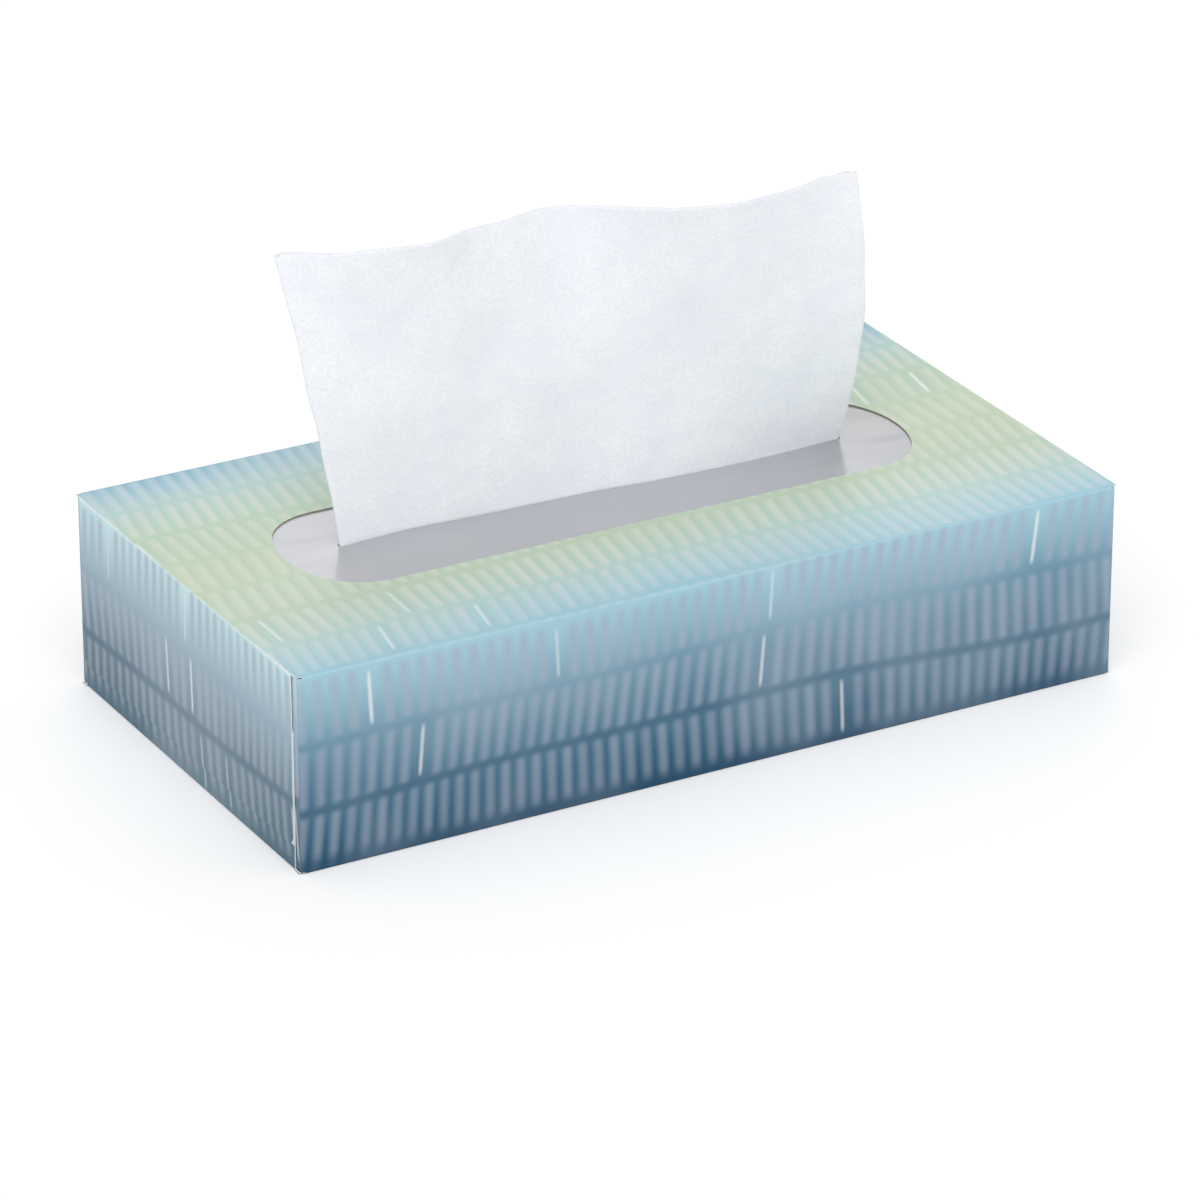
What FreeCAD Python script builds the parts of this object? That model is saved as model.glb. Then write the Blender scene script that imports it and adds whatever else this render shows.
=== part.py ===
import FreeCAD, Part
import math
import os

# A flat carton of facial tissues with one sheet standing in the slit of its window film.
# The origin is the middle of the base. X runs along the carton, the front faces -Y and Z is up.
# All sizes are in millimetres.

# The sheets
sheet_length = 213.0  # cut size along the carton
sheet_width = 208.0  # cut size across the carton; each sheet lies folded in half in the stack
sheet_thickness = 0.2  # two creped plies together
stack_height = 43.0
stack_bulge = 0.8  # how far the folded long sides of the stack swell at mid height

# The carton, one folded and glued blank that is sized round the stack
board = 0.4  # thickness of the boxboard
fold_radius = 0.6  # outside radius of every fold
end_room = 7.3  # from each end of the stack to the inside of the carton
side_room = 8.6  # from each side of the stack to the inside of the carton
head_room = 8.2  # from the top of the stack to the inside of the carton
glue_flap = 14.0  # height of the flap that closes the tube inside the back panel
outer_flap = 45.5  # how far the outer end flap hangs from the top panel
inner_flap = 38.0  # how far the inner end flap stands up from the bottom panel
dust_flap = 48.0  # how far each dust flap reaches in from the front and back panels
flap_inset = 3.0  # from a long edge of the carton to the side of an end flap
flap_corner = 3.0  # rounding of the free corners of an end flap
raw_edge_setback = 0.3  # from an outer face to a raw edge that nearly reaches it

# The dispensing opening in the top panel, a long oval with flattened ends
opening_length = 174.0
opening_width = 45.0
opening_end_radius = 30.0
opening_corner_radius = 17.0

# The window film, glued under the top panel
film_thickness = 0.1
film_margin = 8.0  # glued band all round the opening
slit_clearance = 0.3  # from the film to the sheet that stands in its slit

# The standing sheet, seen from the front
stand_height = 73.5  # from the top panel to the upper edge
left_edge = (-70.5, -75.0, -81.0)  # x of the left side at the slit, at mid height and at the top
right_edge = (69.0, 72.0, 71.0)  # x of the right side at the same heights
slit_wave = (1.2, 2.4, 1.6, 0.8, 0.2, -1.6, -2.4, -2.4, -1.4)  # y at even steps along the slit
middle_wave = (6.2, 5.0, 3.4, 3.6, 3.8, -1.2, -5.4, -7.2, -8.0)  # y at even steps at mid height
top_wave = (12.6, 6.1, 4.2, 7.1, 8.8, -2.7, -8.4, -6.6, -4.5)  # y at even steps along the top
stand_levels = 4  # steps of height that the standing sheet's form is built in
side_fold_gap = 1.2  # between the middles of the sheet and of the side that is folded back behind it
tail_fold_gap = 0.4  # open height inside the fold that lies on the stack
tail_inset = 1.0  # from the side of the stack to the fold
tail_spread = 30.0  # distance behind the slit in which the sheet widens to its full length

# Sizes that follow
carton_length = sheet_length + 2 * (end_room + 3 * board)
carton_width = sheet_width / 2 + 2 * (side_room + board)
carton_height = stack_height + head_room + 2 * board
stack_top = board + stack_height
film_bottom = carton_height - board - film_thickness
half_length = carton_length / 2
half_width = carton_width / 2
tube_end = half_length - 3 * board - fold_radius  # where the folds of the ends begin

UP = FreeCAD.Vector(0, 0, 1)
ALONG = FreeCAD.Vector(1, 0, 0)


def point(x, y, z):
    return FreeCAD.Vector(x, y, z)


def line(start, end):
    return Part.LineSegment(start, end).toShape()


def arc_about(centre, radius, from_deg, to_deg, plane):
    """An arc about a centre, with plane(a, b) giving the point for the two in-plane coordinates."""
    points = []
    for angle in (from_deg, (from_deg + to_deg) / 2, to_deg):
        turn = math.radians(angle)
        points.append(plane(centre[0] + radius * math.cos(turn), centre[1] + radius * math.sin(turn)))
    return Part.Arc(*points).toShape()


def tube_outline(outer, lap):
    """One side of the blank's section across the carton: its outer face or its inner face.

    The tube closes at the lower back edge. There the bottom panel turns up into the glue flap,
    and the back panel lies outside the flap and ends in a raw edge.
    """
    def plane(y, z):
        return point(-half_length, y, z)

    skin = 0 if outer else board
    radius = fold_radius - skin
    front = -half_width + skin
    back = half_width - skin
    low = skin
    high = carton_height - skin
    front_centre = -half_width + fold_radius
    back_centre = half_width - fold_radius
    flap_face = half_width - board - skin
    flap_centre = half_width - board - fold_radius
    top_centre = carton_height - fold_radius
    return Part.Wire([
        line(plane(back, lap), plane(back, top_centre)),
        arc_about((back_centre, top_centre), radius, 0, 90, plane),
        line(plane(back_centre, high), plane(front_centre, high)),
        arc_about((front_centre, top_centre), radius, 90, 180, plane),
        line(plane(front, top_centre), plane(front, fold_radius)),
        arc_about((front_centre, fold_radius), radius, 180, 270, plane),
        line(plane(front_centre, low), plane(flap_centre, low)),
        arc_about((flap_centre, fold_radius), radius, 270, 360, plane),
        line(plane(flap_face, fold_radius), plane(flap_face, lap)),
        line(plane(flap_face, lap), plane(back, lap)),
    ])


def tube():
    """The four panels round the stack, with the glue flap laminated inside the back panel."""
    outside = Part.Face(tube_outline(True, raw_edge_setback)).extrude(ALONG * carton_length)
    inside = Part.Face(tube_outline(False, glue_flap)).extrude(ALONG * carton_length)
    panels = outside.cut(inside)
    keep = Part.makeBox(2 * tube_end, carton_width, carton_height, point(-tube_end, -half_width, 0))
    return panels.common(keep)


def end_flap(panel_face, fold_at, reach, side):
    """A strip of board that leaves a flat panel, folds at fold_at and reaches down the end.

    It is drawn for a panel whose outer face is at z = panel_face, at the +X end of the carton.
    """
    def plane(x, z):
        return point(x, -side, z)

    bend = fold_at - fold_radius
    below = panel_face - fold_radius
    tip = panel_face - reach
    profile = Part.Wire([
        line(plane(tube_end, panel_face), plane(bend, panel_face)),
        arc_about((bend, below), fold_radius, 90, 0, plane),
        line(plane(fold_at, below), plane(fold_at, tip)),
        line(plane(fold_at, tip), plane(fold_at - board, tip)),
        line(plane(fold_at - board, tip), plane(fold_at - board, below)),
        arc_about((bend, below), fold_radius - board, 0, 90, plane),
        line(plane(bend, panel_face - board), plane(tube_end, panel_face - board)),
        line(plane(tube_end, panel_face - board), plane(tube_end, panel_face)),
    ])
    flap = Part.Face(profile).extrude(point(0, 2 * side, 0))
    free_corners = []
    for edge in flap.Edges:
        middle = edge.CenterOfMass
        straight_through = abs(edge.Length - board) < 1e-6
        at_tip = abs(middle.z - tip) < 1e-6 and abs(abs(middle.y) - side) < 1e-6
        if straight_through and at_tip:
            free_corners.append(edge)
    return flap.makeFillet(flap_corner, free_corners)


def panel_corners(panel_face):
    """The panel on both sides of its end flap, which runs on to a raw edge near the end face."""
    low = panel_face - board
    plate = Part.makeBox(
        half_length - raw_edge_setback - tube_end,
        2 * (half_width - fold_radius),
        board,
        point(tube_end, -half_width + fold_radius, low),
    )
    gap = Part.makeBox(
        half_length,
        2 * (half_width - flap_inset),
        3 * board,
        point(tube_end, -half_width + flap_inset, low - board),
    )
    return plate.cut(gap)


def closed_end():
    """All the board beyond the tube at the +X end: dust flaps, inner flap and outer flap."""
    flap_side = half_width - flap_inset
    outer = end_flap(carton_height, half_length, outer_flap, flap_side)
    inner = end_flap(carton_height, half_length - board, inner_flap, flap_side)
    inner.rotate(point(0, 0, carton_height / 2), ALONG, 180)
    pieces = [outer, inner]
    for face_sign in (1, -1):
        # a dust flap lies between the top and bottom panels and is drawn lying flat
        dust = end_flap(half_width, half_length - 2 * board, dust_flap, carton_height / 2 - fold_radius)
        dust.rotate(point(0, 0, 0), ALONG, -90 * face_sign)
        dust.translate(point(0, 0, carton_height / 2))
        pieces.append(dust)
    pieces.append(panel_corners(carton_height))
    pieces.append(panel_corners(board))
    return pieces


def opening_cutter():
    """The opening's outline: straight sides, a corner arc, a flatter end arc and a corner arc."""
    level = carton_height - 2 * board

    def plane(x, y):
        return point(x, y, level)

    half = opening_width / 2
    end_centre = opening_length / 2 - opening_end_radius
    corner_y = half - opening_corner_radius
    between = opening_end_radius - opening_corner_radius
    corner_x = end_centre + math.sqrt(between ** 2 - corner_y ** 2)
    join = math.degrees(math.atan2(corner_y, corner_x - end_centre))
    edges = [
        line(plane(corner_x, -half), plane(-corner_x, -half)),
        arc_about((-corner_x, -corner_y), opening_corner_radius, 270, 180 + join, plane),
        arc_about((-end_centre, 0), opening_end_radius, 180 + join, 180 - join, plane),
        arc_about((-corner_x, corner_y), opening_corner_radius, 180 - join, 90, plane),
        line(plane(-corner_x, half), plane(corner_x, half)),
        arc_about((corner_x, corner_y), opening_corner_radius, 90, join, plane),
        arc_about((end_centre, 0), opening_end_radius, join, -join, plane),
        arc_about((corner_x, -corner_y), opening_corner_radius, -join, -90, plane),
    ]
    return Part.Face(Part.Wire(edges)).extrude(UP * (3 * board))


def carton():
    """The folded and glued blank, with every lamination that glue holds fused into it."""
    pieces = closed_end()
    other_end = []
    for piece in pieces:
        turned = piece.copy()
        turned.rotate(point(0, 0, 0), UP, 180)
        other_end.append(turned)
    blank = tube().multiFuse(pieces + other_end)
    return blank.cut(opening_cutter()).removeSplitter()


def tissue_stack():
    """The interfolded sheets as one block, with swollen folded sides and flat cut ends."""
    half_stack = sheet_width / 4
    start = -sheet_length / 2
    middle = board + stack_height / 2

    def plane(y, z):
        return point(start, y, z)

    swell = half_stack + stack_bulge
    edges = [
        line(plane(-half_stack, board), plane(half_stack, board)),
        Part.Arc(plane(half_stack, board), plane(swell, middle), plane(half_stack, stack_top)).toShape(),
        line(plane(half_stack, stack_top), plane(-half_stack, stack_top)),
        Part.Arc(plane(-half_stack, stack_top), plane(-swell, middle), plane(-half_stack, board)).toShape(),
    ]
    return Part.Face(Part.Wire(edges)).extrude(ALONG * sheet_length)


def wave_at(wave, share):
    """The smooth wave through evenly spaced values, at a share from 0 to 1 of its length."""
    place = min(max(share, 0.0), 1.0) * (len(wave) - 1)
    index = min(int(place), len(wave) - 2)
    step = place - index
    before = wave[max(index - 1, 0)]
    first = wave[index]
    second = wave[index + 1]
    after = wave[min(index + 2, len(wave) - 1)]
    slope_first = (second - before) / 2
    slope_second = (after - first) / 2
    rise = second - first
    square = 3 * rise - 2 * slope_first - slope_second
    cube = slope_first + slope_second - 2 * rise
    return first + step * (slope_first + step * (square + step * cube))


def between_heights(at_slit, at_middle, at_top, raised):
    """A value that passes smoothly through three: 0 is the slit, 0.5 mid height and 1 the top."""
    low = (1 - raised) * (1 - 2 * raised)
    middle = 4 * raised * (1 - raised)
    high = raised * (2 * raised - 1)
    return at_slit * low + at_middle * middle + at_top * high


def standing_line(raised):
    """The sheet's left end, right end and wave at a height: 0 at the slit and 1 at the top edge."""
    left = between_heights(*left_edge, raised)
    right = between_heights(*right_edge, raised)

    def wave(x):
        share = (x - left) / (right - left)
        waves = [wave_at(values, share) for values in (slit_wave, middle_wave, top_wave)]
        return between_heights(*waves, raised)

    return left, right, wave


def line_length(left, right, wave):
    """The length of the wave between two ends, by adding short straight steps."""
    steps = 60
    total = 0.0
    for step in range(steps):
        x = left + (right - left) * step / steps
        following = left + (right - left) * (step + 1) / steps
        total += math.hypot(following - x, wave(following) - wave(x))
    return total


def spline_along(wave, start, end, count, shift, level):
    """A smooth edge that follows the wave from start to end, moved in Y by shift."""
    points = []
    for step in range(count):
        x = start + (end - start) * step / (count - 1)
        points.append(point(x, wave(x) + shift, level))
    curve = Part.BSplineCurve()
    curve.interpolate(points)
    return curve.toShape()


def sheet_section(raised, level):
    """The closed section of the standing sheet: a wave with both sides folded back behind it.

    The spare cut length is shared by the two sides, so each height keeps the whole sheet.
    """
    left, right, wave = standing_line(raised)
    half_thick = sheet_thickness / 2
    side = (sheet_length - line_length(left, right, wave)) / 2 - side_fold_gap
    bend = side_fold_gap / 2
    front = -half_thick
    outer_back = side_fold_gap + half_thick
    inner_back = side_fold_gap - half_thick
    wide = 2 * len(slit_wave) - 1
    narrow = len(slit_wave) // 2 + 1

    def plane(x, y):
        return point(x, y, level)

    right_centre = (right, wave(right) + bend)
    left_centre = (left, wave(left) + bend)
    right_tip = right - side
    left_tip = left + side
    return Part.Wire([
        spline_along(wave, left, right, wide, front, level),
        arc_about(right_centre, bend + half_thick, -90, 90, plane),
        spline_along(wave, right, right_tip, narrow, outer_back, level),
        line(
            plane(right_tip, wave(right_tip) + outer_back),
            plane(right_tip, wave(right_tip) + inner_back),
        ),
        spline_along(wave, right_tip, right, narrow, inner_back, level),
        arc_about(right_centre, bend - half_thick, 90, -90, plane),
        spline_along(wave, right, left, wide, half_thick, level),
        arc_about(left_centre, bend - half_thick, 270, 90, plane),
        spline_along(wave, left, left_tip, narrow, inner_back, level),
        line(
            plane(left_tip, wave(left_tip) + inner_back),
            plane(left_tip, wave(left_tip) + outer_back),
        ),
        spline_along(wave, left_tip, left, narrow, outer_back, level),
        arc_about(left_centre, bend + half_thick, 90, 270, plane),
    ])


def sheet_tail():
    """The hidden rest of the sheet: it lies back over the stack, folds under itself and returns."""
    fold_y = sheet_width / 4 - tail_inset
    lower = stack_top
    upper = stack_top + sheet_thickness + tail_fold_gap
    bend = (tail_fold_gap + sheet_thickness) / 2
    standing = carton_height + stand_height - upper
    lower_end = fold_y - (sheet_width - standing - fold_y)
    half_sheet = sheet_length / 2
    middle = lower + sheet_thickness / 2 + bend

    def plane(y, z):
        return point(-half_sheet, y, z)

    outer = bend + sheet_thickness / 2
    inner = bend - sheet_thickness / 2
    hairpin = Part.Wire([
        line(plane(lower_end, lower), plane(fold_y, lower)),
        arc_about((fold_y, middle), outer, -90, 90, plane),
        line(plane(fold_y, upper + sheet_thickness), plane(tail_spread, upper + sheet_thickness)),
        line(plane(tail_spread, upper + sheet_thickness), plane(tail_spread, upper)),
        line(plane(tail_spread, upper), plane(fold_y, upper)),
        arc_about((fold_y, middle), inner, 90, -90, plane),
        line(plane(fold_y, lower + sheet_thickness), plane(lower_end, lower + sheet_thickness)),
        line(plane(lower_end, lower + sheet_thickness), plane(lower_end, lower)),
    ])
    layers = Part.Face(hairpin).extrude(ALONG * sheet_length)
    left, right, wave = standing_line(0)
    front = -sheet_thickness / 2
    wide = 2 * len(slit_wave) - 1
    fan = Part.Wire([
        spline_along(wave, left, right, wide, front, upper),
        line(point(right, wave(right) + front, upper), point(half_sheet, tail_spread, upper)),
        line(point(half_sheet, tail_spread, upper), point(-half_sheet, tail_spread, upper)),
        line(point(-half_sheet, tail_spread, upper), point(left, wave(left) + front, upper)),
    ])
    return layers.fuse(Part.Face(fan).extrude(UP * sheet_thickness)).removeSplitter()


def top_tissue():
    """The sheet that stands in the slit, ready to be pulled."""
    foot = stack_top + sheet_thickness + tail_fold_gap
    sections = [sheet_section(0, foot)]
    for step in range(stand_levels + 1):
        raised = step / stand_levels
        sections.append(sheet_section(raised, carton_height + raised * stand_height))
    standing = Part.makeLoft(sections, True, True)
    return standing.fuse(sheet_tail())


def film_window():
    """The film under the opening, with a slit that closes round the standing sheet."""
    film_length = opening_length + 2 * film_margin
    film_width = opening_width + 2 * film_margin
    film = Part.makeBox(
        film_length,
        film_width,
        film_thickness,
        point(-film_length / 2, -film_width / 2, film_bottom),
    )
    left, right, wave = standing_line(0)
    reach = sheet_thickness / 2 + slit_clearance
    bend = side_fold_gap / 2
    wide = 2 * len(slit_wave) - 1
    level = film_bottom - film_thickness

    def plane(x, y):
        return point(x, y, level)

    slit = Part.Wire([
        spline_along(wave, left, right, wide, -reach, level),
        arc_about((right, wave(right) + bend), bend + reach, -90, 90, plane),
        spline_along(wave, right, left, wide, side_fold_gap + reach, level),
        arc_about((left, wave(left) + bend), bend + reach, 90, 270, plane),
    ])
    return film.cut(Part.Face(slit).extrude(UP * (3 * film_thickness)))


def main():
    os.makedirs("parts", exist_ok=True)
    pieces = {
        "carton": carton(),
        "film_window": film_window(),
        "tissue_stack": tissue_stack(),
        "top_tissue": top_tissue(),
    }
    for name, shape in pieces.items():
        shape.exportStep("parts/" + name + ".step")
        box = shape.BoundBox
        print(
            name, len(shape.Solids), "solid,", round(shape.Volume), "mm3, X", round(box.XMin, 2),
            round(box.XMax, 2), "Y", round(box.YMin, 2), round(box.YMax, 2), "Z",
            round(box.ZMin, 2), round(box.ZMax, 2), "valid", shape.isValid(),
        )


main()
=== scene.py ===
# %% [markdown]
# # A box of facial tissues
#
# A flat carton of facial tissues is four things: a printed boxboard carton, a milky film under the oval
# opening, the stack of folded sheets inside, and the top sheet, which stands up through a slit in the film.
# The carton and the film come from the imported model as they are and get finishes. The two paper pieces
# are modelled here, because paper takes its look from folds and waves that a plain solid can't show.
# Everything is in metres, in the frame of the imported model: X along the carton, the front at -Y, Z up.

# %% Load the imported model
import math

import bmesh
import bpy
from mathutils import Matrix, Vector, noise


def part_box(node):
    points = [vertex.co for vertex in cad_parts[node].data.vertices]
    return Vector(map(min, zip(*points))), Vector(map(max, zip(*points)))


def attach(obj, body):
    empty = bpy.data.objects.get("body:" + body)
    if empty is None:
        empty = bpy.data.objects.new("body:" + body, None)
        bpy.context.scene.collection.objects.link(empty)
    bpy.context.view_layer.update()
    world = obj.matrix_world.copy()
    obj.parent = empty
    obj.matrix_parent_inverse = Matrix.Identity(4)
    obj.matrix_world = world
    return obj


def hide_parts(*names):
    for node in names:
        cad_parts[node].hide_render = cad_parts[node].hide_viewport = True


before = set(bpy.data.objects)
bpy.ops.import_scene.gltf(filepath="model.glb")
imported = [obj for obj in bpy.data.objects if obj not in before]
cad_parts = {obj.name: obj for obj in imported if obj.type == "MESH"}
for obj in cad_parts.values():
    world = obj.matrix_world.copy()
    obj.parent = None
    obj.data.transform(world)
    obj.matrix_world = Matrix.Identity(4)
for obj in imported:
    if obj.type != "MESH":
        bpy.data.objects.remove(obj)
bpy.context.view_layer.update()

MM = 0.001
carton_low, carton_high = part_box("carton")
stack_low, stack_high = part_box("tissue_stack")
_, sheet_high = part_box("top_tissue")
print("carton", [round(v / MM, 1) for v in carton_high - carton_low], "mm")
print("sheet stands", round((sheet_high.z - carton_high.z) / MM, 1), "mm above the top panel")

# %% [markdown]
# ## The camera
#
# The picture was taken from the front left, about 25 degrees above the table, from far away, so the
# carton's long edges hardly converge. A long lens at a long distance gives that. The camera looks at a point
# inside the carton, a little below its middle, and its place is worked out from two angles and a distance.

# %% Camera
VIEW_TURN = math.radians(-29.158)
VIEW_RISE = math.radians(24.938)
VIEW_DISTANCE = 1.6827
VIEW_TARGET = Vector((0.00088, 0.0, 0.02134))
LENS_MM = 200.9
SENSOR_MM = 36.0
FARTHEST_SEEN = 20.0

away = Vector((
    math.sin(VIEW_TURN) * math.cos(VIEW_RISE),
    -math.cos(VIEW_TURN) * math.cos(VIEW_RISE),
    math.sin(VIEW_RISE),
))
camera_data = bpy.data.cameras.new("camera")
camera_data.lens = LENS_MM
camera_data.sensor_width = SENSOR_MM
camera_data.sensor_fit = "HORIZONTAL"
camera_data.clip_end = FARTHEST_SEEN
camera = bpy.data.objects.new("camera", camera_data)
camera.location = VIEW_TARGET + away * VIEW_DISTANCE
camera.rotation_euler = away.to_track_quat("Z", "Y").to_euler()
bpy.context.scene.collection.objects.link(camera)
bpy.context.scene.camera = camera
print("camera at", [round(v, 3) for v in camera.location])

# %% [markdown]
# ## Shader arithmetic
#
# A printed pattern is arithmetic on the place of each point. Written with single nodes it is hard to read,
# so a small class wraps one output socket and lets plain Python signs add the Math nodes. Colours go
# through Mix nodes, because a Math node would turn them grey.

# %% Signals
class Signal:
    """One output socket of a shader, on which + - * / and a few named steps add nodes."""

    def __init__(self, tree, socket=None):
        self.tree = tree
        self.socket = socket

    def node(self, kind, settings=None, inputs=None, output=0):
        """Adds a node: its settings first, then the numbers or signals of its sockets."""
        made = self.tree.nodes.new(kind)
        for name, value in (settings or {}).items():
            if name == "stops":
                self.set_stops(made.color_ramp, value)
            else:
                setattr(made, name, value)
        for key, value in (inputs or {}).items():
            if isinstance(value, Signal):
                value.feeds(made, key)
            else:
                made.inputs[key].default_value = value
        return Signal(self.tree, made.outputs[output])

    @staticmethod
    def set_stops(ramp, stops):
        while len(ramp.elements) < len(stops):
            ramp.elements.new(1.0)
        for element, (place, colour) in zip(ramp.elements, stops):
            element.position = place
            element.color = colour

    def feeds(self, node, key):
        """Links this signal into a socket of a node."""
        self.tree.links.new(self.socket, node.inputs[key])

    def twin(self, key):
        """Another output of the node that this signal comes from."""
        return Signal(self.tree, self.socket.node.outputs[key])

    def maths(self, operation, *values):
        return self.node("ShaderNodeMath", {"operation": operation}, dict(enumerate(values)))

    def __add__(self, other):
        return self.maths("ADD", self, other)

    def __radd__(self, other):
        return self.maths("ADD", other, self)

    def __sub__(self, other):
        return self.maths("SUBTRACT", self, other)

    def __rsub__(self, other):
        return self.maths("SUBTRACT", other, self)

    def __mul__(self, other):
        return self.maths("MULTIPLY", self, other)

    def __rmul__(self, other):
        return self.maths("MULTIPLY", other, self)

    def __truediv__(self, other):
        return self.maths("DIVIDE", self, other)

    def size(self):
        return self.maths("ABSOLUTE", self)

    def root(self):
        return self.maths("SQRT", self)

    def sine(self):
        return self.maths("SINE", self)

    def whole(self):
        return self.maths("FLOOR", self)

    def above(self, edge):
        return self.maths("GREATER_THAN", self, edge)

    def least(self, other):
        return self.maths("MINIMUM", self, other)

    def most(self, other):
        return self.maths("MAXIMUM", self, other)

    def rising(self, low, high):
        """0 below low, 1 above high, and smooth between them."""
        return self.node(
            "ShaderNodeMapRange",
            {"interpolation_type": "SMOOTHSTEP"},
            {"Value": self, "From Min": low, "From Max": high},
        )

    def between(self, first, second):
        """A number that goes from first to second as this signal goes from 0 to 1."""
        return self.node("ShaderNodeMix", {"data_type": "FLOAT"}, {0: self, 2: first, 3: second})

    def blend(self, first, second):
        """A colour that goes from first to second as this signal goes from 0 to 1."""
        return self.node("ShaderNodeMix", {"data_type": "RGBA"}, {0: self, 6: first, 7: second}, 2)


print("one signal class, used by every finish")

# %% [markdown]
# ## Colours, materials and places
#
# The colours of a print are read as three numbers from 0 to 255. A shader needs the amounts of light that
# they stand for. The finishes need the place of a point in millimetres, because every size of the print
# and of the paper is one that can be measured on the box.

# %% Colours, materials and places
def ink(red, green, blue):
    """A colour as it is read off a print, 0 to 255, turned into the light values that a shader uses."""
    channels = []
    for value in (red, green, blue):
        share = value / 255
        channels.append(share / 12.92 if share <= 0.04045 else ((share + 0.055) / 1.055) ** 2.4)
    return (*channels, 1.0)


def new_finish(name):
    """A material, a signal that stands for its node tree, and its Principled shader."""
    material = bpy.data.materials.new(name)
    material.use_nodes = True
    return material, Signal(material.node_tree), material.node_tree.nodes["Principled BSDF"]


def own_place(tree):
    """The point's own place on its object, in metres."""
    return tree.node("ShaderNodeTexCoord", output=3)


def in_mm(place):
    """A place in metres, turned into millimetres."""
    return place.node("ShaderNodeVectorMath", {"operation": "SCALE"}, {0: place, "Scale": 1 / MM})


def place_in_mm(tree):
    """The point's own place in millimetres, as one signal and as its X, Y and Z."""
    place = in_mm(own_place(tree))
    split = tree.node("ShaderNodeSeparateXYZ", inputs={0: place})
    return place, [split.twin(index) for index in range(3)]


def cloud(place, scale, detail):
    """Soft noise, with scale in waves a millimetre where the place is in millimetres."""
    return place.node("ShaderNodeTexNoise", inputs={"Vector": place, "Scale": scale, "Detail": detail})


def stretched(place, factors):
    """A place with its three axes scaled, which draws a noise out along an axis."""
    return place.node("ShaderNodeMapping", inputs={"Vector": place, "Scale": factors})


def relief(height, strength):
    """The normal of a surface with fine relief: the height is in millimetres."""
    return height.node("ShaderNodeBump", inputs={"Height": height, "Strength": strength, "Distance": MM})


print("mid grey of a print is", round(ink(128, 128, 128)[0], 3), "of full light")

# %% [markdown]
# ## The print on the carton
#
# The board is printed with rows of short soft bars, like rows of reeds. Each row is about 17 mm deep, and
# its edges are gently wavy. The colour behind the bars runs from pale green in the middle of the top panel
# to light blue at the edges, and on down the sides to a deep blue-grey. A few bars are thin white lines.
# The print could be a picture laid over the carton, but a picture fits one size only and blurs when seen
# from near by. Drawn with arithmetic, it stays sharp and follows the carton's sizes.
#
# Such a pattern needs two coordinates on each panel: one along the rows and one across them. The panels
# are flat and square to the axes, so both come from the point's place on the object. Two slow sine waves
# sway the rows, and others let the bars lean and crowd a little, so that no two rows are the same.

# %% Sizes of the rows, in millimetres
LENGTH, WIDTH, HEIGHT = [v / MM for v in carton_high - carton_low]
ROW_PITCH = 17.3
BAR_PITCH = 4.42
ROW_OFFSET = 0.37  # of a bar, between one row and the next
PANEL_SHIFT = 10  # rows between two panels, so that each has its own bars
print("rows on the top panel:", round(WIDTH / ROW_PITCH, 1), "bars in a long row:", round(LENGTH / BAR_PITCH))

# %% [markdown]
# ### Rows and bars
#
# Each wave has a pace, in radians for each millimetre along the row, and a step, in radians from one panel
# or row to the next. The waves of the rows also have a slant, which is their pace across the rows. The row
# number and the bar number will then feed a noise that is different for each bar.

# %% Rows and bars
ROW_SWAY = 1.1
SWAY_PACE = 0.027
SWAY_SLANT = 0.045
SWAY_STEP = 1.9
ROW_RIPPLE = 0.55
RIPPLE_PACE = 0.061
RIPPLE_SLANT = 0.02
RIPPLE_STEP = 0.7
BAR_LEAN = 0.03
TOP_LEAN = 0.07
LEAN_CHANGE = 0.09
LEAN_PACE = 0.021
LEAN_STEP = 2.3
BAR_CROWDING = 1.6
CROWDING_PACE = 0.035
CROWDING_STEP = 1.3


def rows_and_bars(along, across, panel, on_top):
    """The row and bar of a point, and its place from the middle of each, in millimetres."""
    sway = (along * SWAY_PACE + across * SWAY_SLANT + panel * SWAY_STEP).sine() * ROW_SWAY
    ripple = (along * RIPPLE_PACE - across * RIPPLE_SLANT + panel * RIPPLE_STEP).sine() * ROW_RIPPLE
    row = (across + (sway + ripple)) / ROW_PITCH + panel * PANEL_SHIFT
    row_number = row.whole()
    in_row = (row - row_number - 0.5) * ROW_PITCH
    lean = (along * LEAN_PACE + row_number * LEAN_STEP).sine() * LEAN_CHANGE + BAR_LEAN + on_top * TOP_LEAN
    crowded = along + (along * CROWDING_PACE + row_number * CROWDING_STEP).sine() * BAR_CROWDING
    bar = (crowded + in_row * lean) / BAR_PITCH + row_number * ROW_OFFSET
    bar_number = bar.whole()
    in_bar = (bar - bar_number - 0.5) * BAR_PITCH
    return row_number, bar_number, in_row, in_bar


print("rows sway by up to", round(ROW_SWAY + ROW_RIPPLE, 2), "mm")

# %% [markdown]
# ### Bars, lines and streaks
#
# The bars are drawn as capsules: the distance from a point to a short upright stroke, less a radius. Under
# that radius the point is in the bar. The edge is soft, as it is on the print, so each edge is given as the
# two distances between which the bar fades out. A number drawn by chance for each bar decides whether it
# is a soft bar or a thin white line, and how strong its ink is. On the top panel a faint darker streak lies
# beside each bar. The bars fade towards the row's edges.

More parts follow.
